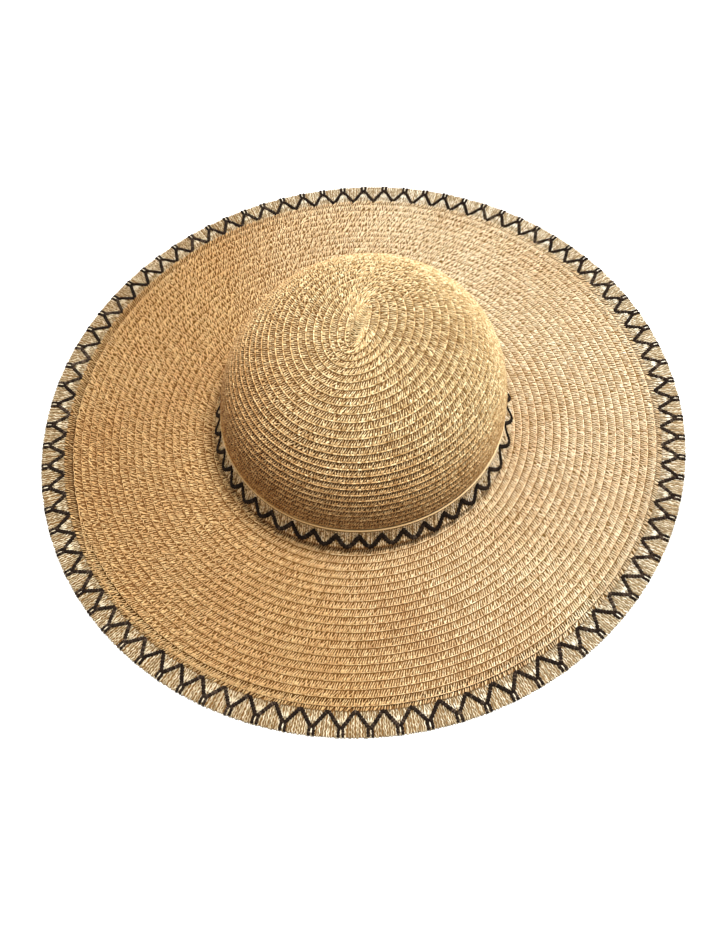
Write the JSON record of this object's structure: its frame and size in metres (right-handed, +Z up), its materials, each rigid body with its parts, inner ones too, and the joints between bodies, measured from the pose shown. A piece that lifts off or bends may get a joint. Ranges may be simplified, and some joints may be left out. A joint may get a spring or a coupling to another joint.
{
  "type": "wide-brim sun hat",
  "caption": "Wide-brim straw sun hat: a rounded crown and a flat brim wound from one narrow braid, with a knitted trim and crown band that carry a dark zigzag yarn.",
  "frame": {"origin": "centre of the brim's edge, on the plane that the trim's underside rests on", "axes": "+Z up through the crown, +X towards the side the soft crown leans to, -Y towards the side nearest the viewer of the picture"},
  "size_m": [0.42, 0.42, 0.1054],
  "materials": {
    "crown_straw": "knitted straw braid, satin",
    "brim_straw": "knitted straw braid, satin",
    "trim_knit": "knitted tape, matt",
    "band_knit": "knitted tape, matt",
    "cord": "smooth wound cord, satin"
  },
  "bodies": {
    "root": {"crown": "crown_straw", "brim": "brim_straw", "edge_trim": "trim_knit", "hat_band": "band_knit", "band_cord": "cord"}
  },
  "joints": []
}
